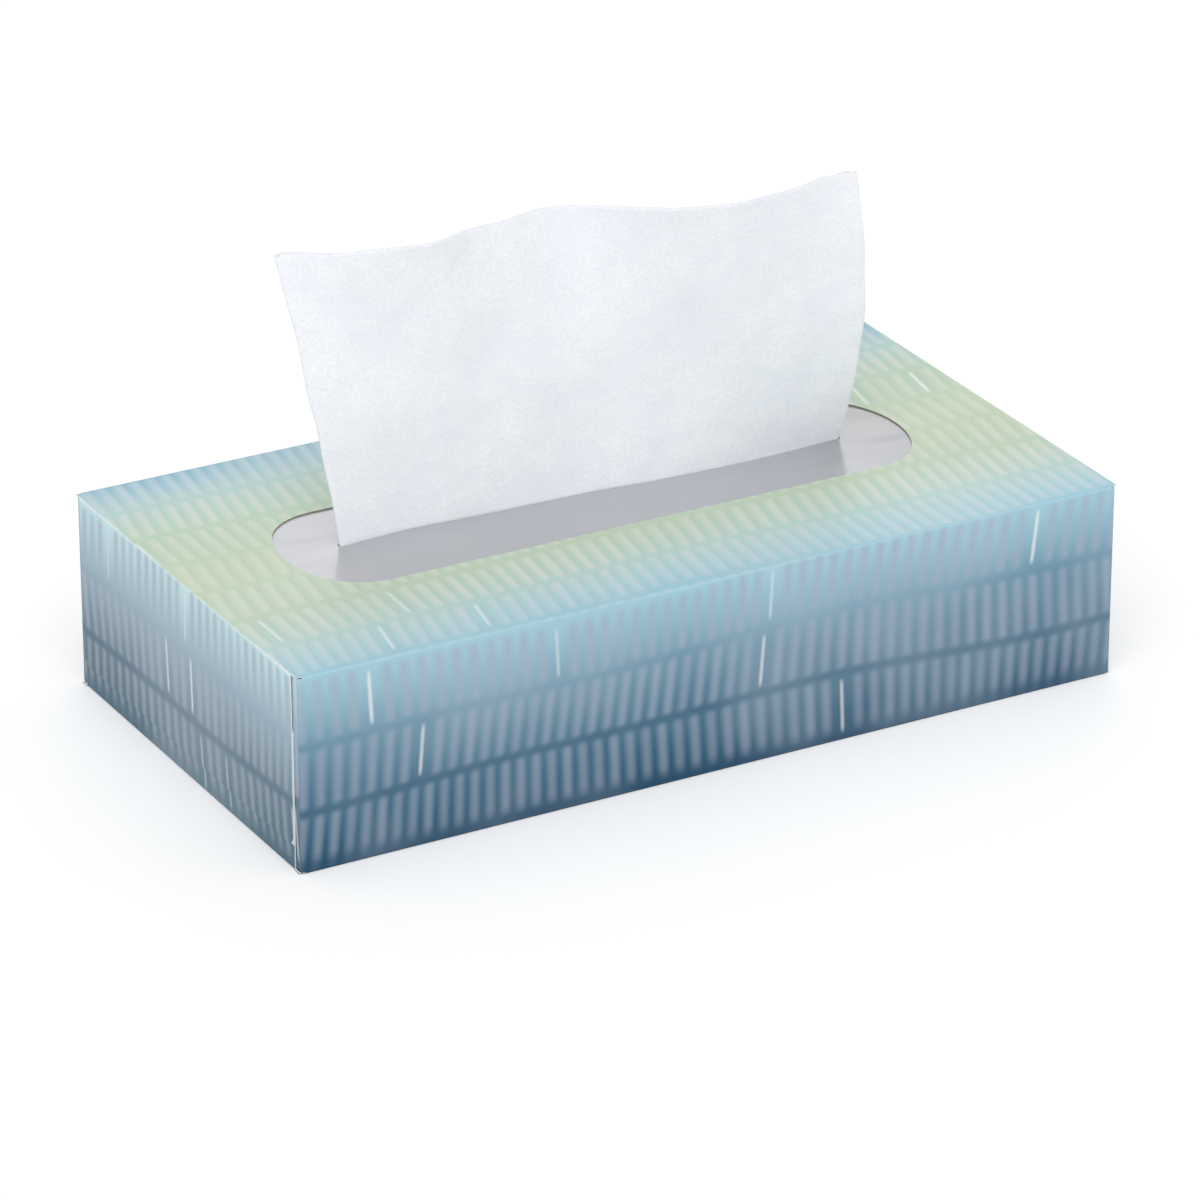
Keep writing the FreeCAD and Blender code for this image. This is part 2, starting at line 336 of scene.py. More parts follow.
# %% Reed pattern
BAR_RADIUS = 1.36
BAR_HALF_LENGTH = 8.0
BAR_EDGE = (BAR_RADIUS - 1.3, BAR_RADIUS + 0.9)
BAR_END = (BAR_HALF_LENGTH - 1.8, BAR_HALF_LENGTH + 0.9)
END_FADE = 0.75
ACROSS_BAR = 0.16  # how much stronger a bar gets towards one side, for each millimetre
LINE_RADIUS = 0.34
LINE_EDGE = (LINE_RADIUS - 0.3, LINE_RADIUS + 0.5)
LINE_END = (BAR_HALF_LENGTH - 3.0, BAR_HALF_LENGTH)
LINE_SHARE = 0.05  # how many of the bars are white lines
LINE_STRENGTH = 0.8
STREAK_SHIFT = 1.7
STREAK_EDGE = (0.1, 1.2)
ROW_END = (BAR_HALF_LENGTH - 1.4, ROW_PITCH / 2)


def reeds(along, across, panel, on_top):
    """The reed pattern: shares of bar, of white line and of the streak beside a bar, and a chance."""
    row_number, bar_number, in_row, in_bar = rows_and_bars(along, across, panel, on_top)
    from_middle = in_row.size()
    beyond_end = (from_middle - (BAR_HALF_LENGTH - BAR_RADIUS)).most(0.0)
    distance = (in_bar * in_bar + beyond_end * beyond_end).root()
    from_streak = in_bar - STREAK_SHIFT
    streak_distance = (from_streak * from_streak + beyond_end * beyond_end).root()
    which = along.node("ShaderNodeCombineXYZ", inputs={0: bar_number, 1: row_number, 2: ROW_OFFSET})
    chance = along.node("ShaderNodeTexWhiteNoise", {"noise_dimensions": "3D"}, {"Vector": which})
    is_line = chance.above(1 - LINE_SHARE)

    in_bars = (1 - distance.rising(*BAR_EDGE)) * (1 - is_line)
    in_bars = in_bars * (1 - from_middle.rising(*BAR_END) * END_FADE)
    in_bars = in_bars * (in_bar * ACROSS_BAR + 1.0)
    in_lines = (1 - distance.rising(*LINE_EDGE)) * is_line
    in_lines = in_lines * (1 - from_middle.rising(*LINE_END)) * LINE_STRENGTH
    in_streaks = 1 - streak_distance.rising(*STREAK_EDGE)
    at_row_end = from_middle.rising(*ROW_END)
    return in_bars, in_lines, in_streaks, at_row_end, chance


print("a bar is", round(2 * BAR_RADIUS, 1), "mm wide and", 2 * BAR_HALF_LENGTH, "mm long")

# %% [markdown]
# ## Where the board is printed
#
# Only the outside of a carton is printed. The cut edges and the inside show the bare board. A point is on
# the outside where its distance to the closed carton's rounded box is about nothing. The end flaps lie on
# each other, so the flaps underneath have rounded boxes of their own, one or two board thicknesses shorter.

# %% Print mask
FOLD_RADIUS = 0.6
BOARD = 0.4
FLAP_INSET = 3.0
OUTER_FLAP_LENGTH = 45.5
SKIN = 0.12  # how near to an outer face a point counts as printed
FLAP_EDGE = 0.05
FLAP_END_EDGE = 0.1


def box_distance(axes, half_length):
    """The distance of a point to the carton's rounded box, below 0 inside it."""
    x, y, z = axes
    over = [
        x.size() - (half_length - FOLD_RADIUS),
        y.size() - (WIDTH / 2 - FOLD_RADIUS),
        (z - HEIGHT / 2).size() - (HEIGHT / 2 - FOLD_RADIUS),
    ]
    outside = [value.most(0.0) for value in over]
    corner = (outside[0] * outside[0] + outside[1] * outside[1] + outside[2] * outside[2]).root()
    return corner + over[0].most(over[1]).most(over[2]).least(0.0) - FOLD_RADIUS


def printed_skin(axes):
    """1 on the printed outside of the carton and 0 on its cut edges and inside."""
    _, y, z = axes
    beside_flaps = y.size().above(WIDTH / 2 - FLAP_INSET - FLAP_EDGE)
    outer = box_distance(axes, LENGTH / 2).above(-SKIN)
    inner_flap = 1 - box_distance(axes, LENGTH / 2 - BOARD).size().above(SKIN)
    above_outer_end = z.above(HEIGHT - OUTER_FLAP_LENGTH + FLAP_END_EDGE)
    inner_flap = inner_flap * (1 - above_outer_end) * (1 - beside_flaps)
    dust_flap = (1 - box_distance(axes, LENGTH / 2 - 2 * BOARD).size().above(SKIN)) * beside_flaps
    return outer.most(inner_flap).most(dust_flap)


print("the outer flap ends", round(HEIGHT - OUTER_FLAP_LENGTH, 1), "mm above the table")

# %% [markdown]
# ## Which panel a point is on
#
# Each panel has its own two print coordinates. Which panel a point is on follows from the axis that is
# nearest to its outer face. On the sides the rows run round the carton and the depth is measured down from
# the top panel. On the top and the bottom they run along it. The panel's number shifts its rows and bars,
# and is 0 for the front and the base.

# %% Panels
LEFT_END_NUMBER = 1
RIGHT_END_NUMBER = 3
TOP_NUMBER = 5
BACK_NUMBER = 7


class Panels:
    """For a point of the carton: the panel it is on, and its two coordinates there."""

    def __init__(self, axes):
        x, y, z = axes
        self.past_end = x.size() - LENGTH / 2
        past_side = y.size() - WIDTH / 2
        self.past_top = z - HEIGHT
        past_base = z * -1
        self.on_top = self.past_top.above(self.past_end.most(past_side))
        on_base = past_base.above(self.past_end.most(past_side))
        self.on_end = self.past_end.above(past_side.most(self.past_top).most(past_base))
        self.on_flat = self.on_top.most(on_base)
        self.depth = HEIGHT - z
        self.along = self.on_end.between(x, y)
        self.across = self.on_flat.between(self.depth, WIDTH / 2 - y)
        end_number = self.on_end * x.above(0.0).between(LEFT_END_NUMBER, RIGHT_END_NUMBER)
        back_number = y.above(0.0) * (1 - self.on_end) * (1 - self.on_flat) * BACK_NUMBER
        self.number = end_number + self.on_top * TOP_NUMBER + back_number


print("panel numbers: ends", LEFT_END_NUMBER, "and", RIGHT_END_NUMBER, "top", TOP_NUMBER, "back", BACK_NUMBER)

# %% [markdown]
# ## The printed colours
#
# The ground colour is a ramp: on a side from its upper edge to its lower edge, on the top panel from its
# back edge to its front edge. The ends have a paler and greyer ramp of their own. A slow noise lets the
# ground drift a little, as it does on the print.

# %% Ground colour
SIDE_STOPS = (
    (0.00, ink(166, 208, 222)), (0.15, ink(146, 188, 205)), (0.36, ink(108, 147, 169)),
    (0.62, ink(70, 112, 138)), (0.85, ink(36, 88, 117)), (1.00, ink(8, 66, 98)),
)
END_STOPS = (
    (0.00, ink(208, 240, 244)), (0.15, ink(188, 216, 227)), (0.36, ink(149, 174, 190)),
    (0.62, ink(108, 132, 150)), (0.85, ink(86, 114, 132)), (1.00, ink(81, 113, 131)),
)
TOP_STOPS = (
    (0.00, ink(126, 176, 199)), (0.06, ink(153, 191, 205)), (0.13, ink(172, 202, 199)),
    (0.28, ink(179, 204, 178)), (0.50, ink(190, 206, 174)), (0.72, ink(182, 202, 176)),
    (0.84, ink(178, 205, 198)), (0.92, ink(168, 203, 211)), (1.00, ink(151, 196, 212)),
)
SIDE_DRIFT = ink(188, 206, 216)
TOP_DRIFT = ink(196, 214, 206)
DRIFT_SCALE = 0.022
DRIFT_BAND = (0.35, 0.7)
DRIFT_SHARE = 0.22


def ground_colour(place, y, panels):
    """The colour behind the bars."""
    depth_share = panels.depth / HEIGHT
    side = place.node("ShaderNodeValToRGB", {"stops": SIDE_STOPS}, {0: depth_share})
    end = place.node("ShaderNodeValToRGB", {"stops": END_STOPS}, {0: depth_share})
    top = place.node("ShaderNodeValToRGB", {"stops": TOP_STOPS}, {0: (WIDTH / 2 - y) / WIDTH})
    ground = panels.on_top.blend(panels.on_end.blend(side, end), top)
    drift_colour = panels.on_top.blend(SIDE_DRIFT, TOP_DRIFT)
    drift = cloud(place, DRIFT_SCALE, 2.0).rising(*DRIFT_BAND) * DRIFT_SHARE
    return drift.blend(ground, drift_colour)


print("the top panel's ground runs through", len(TOP_STOPS), "colours")

# %% [markdown]
# ### Bars over the ground
#
# The rows of bars go over the ground colour as a thin pale ink would, so a bar is darker than a light
# ground and lighter than a dark one. Near the long edges of the top panel the bars are bluish, and in its
# middle and low on the sides they are fainter. A band gives the two places between which such a change
# happens: a depth below the top panel, or a distance from the carton's middle line.

# %% Colours of the print
SIDE_BAR = ink(165, 178, 194)
END_BAR = ink(184, 195, 206)
END_BAR_BAND = (8.0, 26.0)
TOP_BAR = ink(218, 219, 207)
EDGE_BAR = ink(200, 213, 218)
EDGE_BAR_BAND = (WIDTH / 2 - 26, WIDTH / 2 - 6)
STREAK = ink(140, 172, 182)
STREAK_SHARE = 0.15
ROW_LINE = ink(48, 78, 98)
ROW_LINE_BAND = (14.0, 34.0)
ROW_LINE_SHARE = 0.2
WHITE_LINE = ink(232, 236, 238)
LINE_GAIN = 12.0  # how fast a white line gets stronger with its chance
LINE_START = 10.9
BAR_DUST = ink(120, 134, 146)
DUST_SHARE = 0.35
LEAST_BAR = 0.5
BAR_CHANCE = 0.16
TOP_FADE = 0.14
MIDDLE_FADE = 0.22
MIDDLE_BAND = (10.0, 36.0)
DEEPER_FADE = 0.006  # how much a bar fades for each millimetre down a side
LOWEST_FADE = 0.8
LOWEST_BAND = (46.5, 50.5)


def bar_strength(y, panels, bars, chance):
    """How much of the bar's ink lies on the ground."""
    on_sides = 1 - panels.on_flat
    top_fade = TOP_FADE + (1 - y.size().rising(*MIDDLE_BAND)) * MIDDLE_FADE
    strength = bars * (LEAST_BAR + chance * BAR_CHANCE)
    strength = strength * (1 - panels.on_top * top_fade - on_sides * panels.depth * DEEPER_FADE)
    return strength * (1 - panels.depth.rising(*LOWEST_BAND) * on_sides * LOWEST_FADE)


def printed_colour(place, y, panels, fibre):
    """The ground with its bars, lines and streaks."""
    pattern = reeds(panels.along, panels.across, panels.number, panels.on_top)
    bars, lines, streaks, at_row_end, chance = pattern
    top_bar = y.size().rising(*EDGE_BAR_BAND).blend(TOP_BAR, EDGE_BAR)
    side_bar = (panels.on_end * panels.depth.rising(*END_BAR_BAND)).blend(SIDE_BAR, END_BAR)
    bar_colour = panels.on_top.blend(side_bar, top_bar)
    row_line = at_row_end * (1 - panels.on_flat) * panels.depth.rising(*ROW_LINE_BAND)

    colour = ground_colour(place, y, panels)
    colour = (streaks * panels.on_top * STREAK_SHARE).blend(colour, STREAK)
    colour = (row_line * ROW_LINE_SHARE).blend(colour, ROW_LINE)
    colour = bar_strength(y, panels, bars, chance).blend(colour, bar_colour)
    colour = (lines * (chance * LINE_GAIN - LINE_START)).blend(colour, WHITE_LINE)
    return ((fibre - 0.5).size() * DUST_SHARE).blend(colour, BAR_DUST)


print("bars cover at most", LEAST_BAR + BAR_CHANCE, "of the ground")

# %% [markdown]
# ## The printed board
#
# Over the print lies a satin varnish. Where the board is folded hardest, at the upper edges of the ends,
# it has small cracks in which the white of the paper shows, most of all near the corners. They are far
# finer than the mesh, so the finish draws them. That white along the folds is partly a painted highlight.
# The cut edge round the opening is brown, and the other cut edges are pale. Heights of the relief are in
# millimetres.

# %% Printed board finish
# white of cracked board along the end folds, partly a painted highlight
CRACK_WHITE_AND_PAINTED_HIGHLIGHT = ink(232, 236, 236)
RAW_BOARD = ink(124, 104, 86)
RAW_FIBRE = ink(158, 138, 118)
EDGE_SHADE = ink(214, 222, 226)
EDGE_PAPER = ink(238, 241, 241)
FIBRE_SCALE = 1.6
CRACK_AND_HIGHLIGHT_WIDTH = (0.38, 0.66)
CRACK_AND_HIGHLIGHT_FIBRE = (0.34, 0.56)
CRACK_AND_HIGHLIGHT_CORNER_BAND = (24.0, 56.0)
CRACK_AND_HIGHLIGHT_SHARE = 0.9
OPENING_REACH = (90.0, 24.0)
BOARD_ROUGHNESS = 0.9
PRINT_ROUGHNESS = 0.5
FIBRE_HEIGHT = 0.012
CRACK_HEIGHT = 0.05
WARP_SCALE = 0.03
WARP_HEIGHT = 0.6


def end_cracks_and_highlight(y, panels, fibre):
    """The share of crack white, partly a painted highlight, along the folds between the top panel and the
    ends.
    """
    from_fold = panels.past_end * -1 + (panels.past_top * -1)
    near_corner = y.size().rising(*CRACK_AND_HIGHLIGHT_CORNER_BAND) * 0.6 + 0.4
    return (1 - from_fold.rising(*CRACK_AND_HIGHLIGHT_WIDTH)) * fibre.rising(*CRACK_AND_HIGHLIGHT_FIBRE) * near_corner


def printed_board():
    material, tree, shader = new_finish("printed_board")
    place, axes = place_in_mm(tree)
    x, y, _ = axes
    panels = Panels(axes)
    fibre = cloud(place, FIBRE_SCALE, 4.0)
    cracks_and_highlight = end_cracks_and_highlight(y, panels, fibre)
    # the white along the end folds is partly a painted highlight
    print_colour = (cracks_and_highlight * CRACK_AND_HIGHLIGHT_SHARE).blend(printed_colour(place, y, panels, fibre), CRACK_WHITE_AND_PAINTED_HIGHLIGHT)
    at_opening = (1 - x.size().above(OPENING_REACH[0])) * (1 - y.size().above(OPENING_REACH[1]))
    brown_board = fibre.blend(RAW_BOARD, RAW_FIBRE)
    board_colour = at_opening.blend(fibre.blend(EDGE_SHADE, EDGE_PAPER), brown_board)
    skin = printed_skin(axes)
    skin.blend(board_colour, print_colour).feeds(shader, "Base Color")
    varnish = skin.between(BOARD_ROUGHNESS, PRINT_ROUGHNESS) + cracks_and_highlight * 0.3 + (fibre - 0.5) * 0.1
    varnish.feeds(shader, "Roughness")
    shader.inputs["Specular IOR Level"].default_value = 0.32
    height = fibre * FIBRE_HEIGHT + cloud(place, WARP_SCALE, 1.0) * WARP_HEIGHT + cracks_and_highlight * CRACK_HEIGHT
    relief(height, 0.6).feeds(shader, "Normal")
    return material


def dress(node, material):
    """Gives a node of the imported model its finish, and leaves its mesh alone."""
    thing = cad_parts[node]
    thing.data.materials.clear()
    thing.data.materials.append(material)
    print(node, "has", len(thing.data.polygons), "faces and the finish", material.name)


dress("carton", printed_board())

# %% [markdown]
# ## The window film
#
# The window is a thin milky plastic film. It is glued under the top panel round the opening and lies a
# little loose, so soft shallow waves run out from the ends of the slit and along the film. It is far
# glossier than the board, and mirrors the light behind the box, except where it mirrors the standing sheet.
# Its colour is lighter and darker along its waves and streaks, a painted reflection, and towards its right
# end it is painted darker, a painted shade. A finish that lets light through could be used too, but it is
# slow to render cleanly, and hardly anything of the inside shows through the milk. So the film is opaque and
# milky, with a coat for its gloss.

# %% Window film finish
# painted reflection: the milk runs between the first two colours along the waves and streaks; painted shade:
# darker towards the right end
MILK_DARKER_PAINTED_REFLECTION = ink(163, 164, 170)
MILK_LIGHTER_PAINTED_REFLECTION = ink(179, 180, 185)
MILK_PAINTED_SHADE = ink(138, 139, 143)
PAINTED_SHADE_BAND = (45.0, 88.0)
PAINTED_SHADE_SHARE = 0.85
SWELL_DRAWN = (0.35, 1.0, 1.0)  # less than 1 draws the noise out along that axis
SWELL_SCALE = 0.055
SWELL_HEIGHT = 1.6
GLEAM_DRAWN = (0.5, 1.0, 1.0)
GLEAM_SCALE = 0.12
GLEAM_HEIGHT = 0.25
PLEAT_PACE = (0.16, 0.42)
PLEAT_BEND = 5.0
PLEAT_BAND = (58.0, 80.0)
PLEAT_HEIGHT = 0.22
FILM_ROUGHNESS = 0.24
GLEAM_ROUGHNESS = 0.16


def window_film():
    material, tree, shader = new_finish("window_film")
    place, (x, y, _) = place_in_mm(tree)
    swell = cloud(stretched(place, SWELL_DRAWN), SWELL_SCALE, 2.0)
    gleam = cloud(stretched(place, GLEAM_DRAWN), GLEAM_SCALE, 1.0)
    # painted reflection: lighter and darker milk along the waves and streaks
    milk_and_painted_light = (swell * 0.6 + gleam * 0.4).blend(MILK_DARKER_PAINTED_REFLECTION, MILK_LIGHTER_PAINTED_REFLECTION)
    # painted shade: darker towards the film's right end
    milk_and_painted_light = (x.rising(*PAINTED_SHADE_BAND) * PAINTED_SHADE_SHARE).blend(milk_and_painted_light, MILK_PAINTED_SHADE)
    milk_and_painted_light.feeds(shader, "Base Color")
    (FILM_ROUGHNESS + gleam * GLEAM_ROUGHNESS).feeds(shader, "Roughness")
    shader.inputs["Coat Weight"].default_value = 0.5
    shader.inputs["Coat Roughness"].default_value = 0.12
    pleats = (x * PLEAT_PACE[0] + y * PLEAT_PACE[1] + swell * PLEAT_BEND).sine() * 0.5 + 0.5
    pleats = pleats * x.size().rising(*PLEAT_BAND)
    height = swell * SWELL_HEIGHT + gleam * GLEAM_HEIGHT + pleats * PLEAT_HEIGHT
    relief(height, 0.7).feeds(shader, "Normal")
    return material


dress("film_window", window_film())

# %% [markdown]
# ## The standing sheet
#
# A tissue is one thin sheet, 213 mm by 208 mm. A cloth simulation could drape it, but it would find other
# waves than the real sheet has. So a flat grid of that size is bent without stretching: a row of the grid
# is a line across the sheet, and a column runs from its upper edge down through the slit to the part that
# lies on the stack. The sheet is longer than it stands wide, so both sides are folded back behind it. Each
# row gets its columns in the same places relative to those folds, so the folds stay round all the way up.

# %% Sizes of the sheet, in millimetres
SHEET_LENGTH = 213.0
SHEET_WIDTH = 208.0
SHEET_THICKNESS = 0.18
STAND = 73.5  # how far the sheet stands above the top panel
LEFT_EDGE = (-70.5, -75.0, -79.4)  # at the slit, at mid height and at the upper edge
RIGHT_EDGE = (69.0, 72.0, 71.0)
SLIT_WAVE = (1.2, 2.4, 1.6, 0.8, 0.2, -1.6, -2.4, -2.4, -1.4)  # how far back it stands, from left to right
MIDDLE_WAVE = (6.2, 5.0, 3.4, 3.6, 3.8, -1.2, -5.4, -7.2, -8.0)
TOP_WAVE = (16.4, 6.9, 4.6, 9.7, 10.2, -2.7, -8.4, -6.6, -4.5)
FOLD_GAP = 1.2
FOLD_CLOSING = 0.45  # how much of the gap is gone at the free edge of a folded side
SIDE_DROP = 1.3
SIDE_STEPS = 24
FOLD_STEPS = 8
MIDDLE_STEPS = 112
STAND_ROWS = 76
TAIL_ROWS = 44
COLUMNS = 2 * SIDE_STEPS + 2 * FOLD_STEPS + MIDDLE_STEPS
ROWS = STAND_ROWS + TAIL_ROWS
print("sheet of", SHEET_LENGTH, "by", SHEET_WIDTH, "mm in", COLUMNS, "columns and", ROWS, "rows")

# %% [markdown]
# ### Its waves
#
# Seen from above, a line across the sheet is a soft wave. The wave is given at three heights by nine
# values each. A smooth curve goes through the nine, and another through the three heights.

# %% Waves
def wave_at(wave, share):
    """The smooth wave through evenly spaced values, at a share from 0 to 1 of its length."""
    place = min(max(share, 0.0), 1.0) * (len(wave) - 1)
    index = min(int(place), len(wave) - 2)
    step = place - index
    before, first = wave[max(index - 1, 0)], wave[index]
    second, after = wave[index + 1], wave[min(index + 2, len(wave) - 1)]
    slope_first, slope_second = (second - before) / 2, (after - first) / 2
    rise = second - first
    square = 3 * rise - 2 * slope_first - slope_second
    cube = slope_first + slope_second - 2 * rise
    return first + step * (slope_first + step * (square + step * cube))


def between_heights(values, raised):
    """A value that passes smoothly through three: 0 is the slit, 0.5 mid height and 1 the top."""
    at_slit, at_middle, at_top = values
    low = (1 - raised) * (1 - 2 * raised)
    return at_slit * low + at_middle * 4 * raised * (1 - raised) + at_top * raised * (2 * raised - 1)


print("width at the slit", RIGHT_EDGE[0] - LEFT_EDGE[0], "mm, at the top", RIGHT_EDGE[2] - LEFT_EDGE[2], "mm")

# %% [markdown]
# ### One line across the sheet
#
# The line keeps its full length of 213 mm: the wave in the middle takes what it needs, and the rest is
# shared by the two folded sides. From left to right the columns follow the left side back to its fold,
# go round the fold, along the wave, round the other fold and back along the right side.

# %% One line across
def across_gap(share):
    """How far behind the front a folded side lies, at a share of its way from the fold."""
    return FOLD_GAP * (1 - FOLD_CLOSING * share)


def sheet_row(raised):
    """For one height: the cut lengths of the columns, and where each lies seen from above."""
    left = between_heights(LEFT_EDGE, raised)
    right = between_heights(RIGHT_EDGE, raised)

    def wave(x):
        share = (x - left) / (right - left)
        return between_heights([wave_at(w, share) for w in (SLIT_WAVE, MIDDLE_WAVE, TOP_WAVE)], raised)

    xs = [left + (right - left) * step / MIDDLE_STEPS for step in range(MIDDLE_STEPS + 1)]
    run = sum(math.hypot(b - a, wave(b) - wave(a)) for a, b in zip(xs, xs[1:]))
    radius = FOLD_GAP / 2
    side = (SHEET_LENGTH - run) / 2 - math.pi * radius
    columns = []
    cut = -SHEET_LENGTH / 2
    for step in range(SIDE_STEPS):
        share = step / SIDE_STEPS
        x = left + side * (1 - share)
        columns.append((cut + side * share, x, wave(x) + across_gap(1 - share), SIDE_DROP * (1 - share)))
    cut += side
    for step in range(FOLD_STEPS):
        turn = math.pi * step / FOLD_STEPS
        y = wave(left) + radius + radius * math.cos(turn)
        columns.append((cut + radius * turn, left - radius * math.sin(turn), y, 0.0))
    cut += math.pi * radius
    for index, x in enumerate(xs):
        if index:
            cut += math.hypot(x - xs[index - 1], wave(x) - wave(xs[index - 1]))
        columns.append((cut, x, wave(x), 0.0))
    for step in range(1, FOLD_STEPS + 1):
        turn = math.pi * step / FOLD_STEPS
        y = wave(right) + radius - radius * math.cos(turn)
        columns.append((cut + radius * turn, right + radius * math.sin(turn), y, 0.0))
    cut += math.pi * radius
    for step in range(1, SIDE_STEPS + 1):
        share = step / SIDE_STEPS
        x = right - side * share
        columns.append((cut + side * share, x, wave(x) + across_gap(share), SIDE_DROP * share))
    return columns


print("folded sides at the slit:", round(sheet_row(0.0)[0][1] - LEFT_EDGE[0], 1), "mm wide")

# %% [markdown]
# ### Down the sheet
#
# From its upper edge the sheet hangs straight down through the slit. On the stack it turns to the back in a
# small round bend, spreads out to its full length, and near the back of the stack it is folded under
# itself, as the next sheet would have left it.

# %% Down the sheet
STACK_TOP = stack_high.z / MM
UPPER_LAYER = STACK_TOP + 0.7
LOWER_LAYER = STACK_TOP + 0.1
TURN = 2.5
TAIL_FOLD_Y = 51.0
SPREAD = 30.0
STAND_RUN = HEIGHT + STAND - UPPER_LAYER


def sheet_point(column, run):
    """The place of one grid point: run is how far down the sheet it is from the upper edge."""
    cut, x, y, drop = column
    top = HEIGHT + STAND
    run = run + drop * max(1 - run / STAND, 0.0)
    straight = top - UPPER_LAYER - TURN
    if run <= straight:
        return Vector((x, y, top - run))
    turned = min((run - straight) / TURN, math.pi / 2)
    beyond = max(run - straight - TURN * math.pi / 2, 0.0)
    back = TURN * (1 - math.cos(turned)) + beyond
    level = UPPER_LAYER + TURN * (1 - math.sin(turned))
    share = min(back / SPREAD, 1.0)
    flat = share * share * (3 - 2 * share)
    x = x + (cut - x) * flat
    y = y * (1 - flat) + back
    rest = back - TAIL_FOLD_Y
    if rest > 0:
        radius = (UPPER_LAYER - LOWER_LAYER) / 2
        turned = min(rest / radius, math.pi)
        y = TAIL_FOLD_Y + radius * math.sin(turned) - max(rest - math.pi * radius, 0.0)
        level = LOWER_LAYER + radius + radius * math.cos(turned)
    return Vector((x, y, level))


print("the sheet hangs down", round(STAND_RUN, 1), "mm, tail", round(SHEET_WIDTH - STAND_RUN, 1), "mm")

# %% [markdown]
# ### What makes it look like paper
#
# Soft paper is never quite even. The standing part has broad dents and small cockles, its upper edge is
# cut a little unevenly, its corners are rounded, and its sides sway. All of it fades out towards the slit.
# It could be sculpted by hand, but smooth noise gives it in a few lines, and the same each time.

# %% Unevenness
BROAD_DENT = 1.5
SMALL_COCKLE = 0.45
EDGE_CUT = 0.25
EDGE_UNEVEN = 0.5
EDGE_DEPTH = 6.0
CORNER_DROP = 1.0
CORNER_WIDTH = 2.6
CORNER_DEPTH = 5.0
SIDE_SWAY = 0.8
SWAY_WIDTH = 25.0
DENT_WAVES = (0.03, 0.022)  # in a millimetre, along the sheet and down it
COCKLE_WAVES = (0.09, 0.06)
EDGE_WAVES = 0.08
SWAY_WAVES = 0.07
COCKLE_SEED = 5.0
EDGE_SEED = 3.0
LEFT_SEED = 2.0
RIGHT_SEED = 9.0


def uneven(place, along, run, raised):
    """Moves one point of the standing part by the small unevenness of the paper."""
    loose = min(raised * 3, 1.0)
    dent_place = Vector((along * DENT_WAVES[0], run * DENT_WAVES[1], 0.0))
    cockle_place = Vector((along * COCKLE_WAVES[0], run * COCKLE_WAVES[1], COCKLE_SEED))
    broad = noise.noise(dent_place) * BROAD_DENT
    cockle = noise.noise(cockle_place) * SMALL_COCKLE
    place.y += (broad + cockle) * loose
    edge_noise = noise.noise(Vector((along * EDGE_WAVES, EDGE_SEED, 0.0)))
    place.z -= (EDGE_CUT + edge_noise * EDGE_UNEVEN) * max(1 - run / EDGE_DEPTH, 0.0)
    from_side = min(abs(place.x - between_heights(LEFT_EDGE, raised)),
                    abs(place.x - between_heights(RIGHT_EDGE, raised)))
    rounded = max(1 - from_side / CORNER_WIDTH, 0.0) ** 2
    place.z -= CORNER_DROP * rounded * max(1 - run / CORNER_DEPTH, 0.0)
    seed = RIGHT_SEED if place.x > 0 else LEFT_SEED
    sway = noise.noise(Vector((run * SWAY_WAVES, seed, 0.0))) * SIDE_SWAY
    place.x += sway * loose * max(1 - from_side / SWAY_WIDTH, 0.0)
    return place


print("dents of up to", BROAD_DENT + SMALL_COCKLE, "mm")

# %% [markdown]
# ### The sheet itself
#
# The grid is made flat, and each of its points is then put in its place. Its flat map keeps the place of
# each point on the uncut sheet, so the paper's finish bends with it. A thickness is added as a modifier.

# %% Standing sheet
FLAT_MAP = "flat_sheet"


def link_piece(name, shape):
    """Turns a finished shape into a piece of the scene."""
    mesh = bpy.data.meshes.new(name)
    shape.to_mesh(mesh)
    shape.free()
    thing = bpy.data.objects.new(name, mesh)
    bpy.context.scene.collection.objects.link(thing)
    return thing


def make_sheet():
    shape = bmesh.new()
    bmesh.ops.create_grid(shape, x_segments=COLUMNS, y_segments=ROWS, size=0.5)
    flat_map = shape.loops.layers.uv.new(FLAT_MAP)
    flat_place = {}
    made_rows = {}
    for vertex in shape.verts:
        column = round((vertex.co.x + 0.5) * COLUMNS)
        row = round((0.5 - vertex.co.y) * ROWS)
        if row <= STAND_ROWS:
            run = STAND_RUN * row / STAND_ROWS
        else:
            run = STAND_RUN + (SHEET_WIDTH - STAND_RUN) * (row - STAND_ROWS) / TAIL_ROWS
        raised = max(1 - run / STAND, 0.0)
        if row not in made_rows:
            made_rows[row] = sheet_row(raised)
        along = made_rows[row][column][0]
        flat_place[vertex] = (along, run)
        vertex.co = uneven(sheet_point(made_rows[row][column], run), along, run, raised) * MM
    for face in shape.faces:
        face.smooth = True
        for loop in face.loops:
            along, run = flat_place[loop.vert]
            loop[flat_map].uv = (along * MM, run * MM)
    thing = link_piece("standing_sheet", shape)
    wall = thing.modifiers.new("thickness", "SOLIDIFY")
    wall.thickness = SHEET_THICKNESS * MM
    wall.offset = 0.0
    print("sheet:", len(thing.data.polygons), "faces")
    return thing


standing_sheet = make_sheet()

# %% [markdown]
# ## Tissue paper
#
# Facial tissue is white with a faint blue, and not even: its fibres lie in clouds, which let more or less
# light through. It has a fine crepe across the sheet, and no gloss. A translucent finish could show the
# clouds, but other programs would lose it, and they keep colour and relief. So large pale patches, small
# clouds and fine specks give the colour, and the crepe, the clouds and the patches a weak relief.

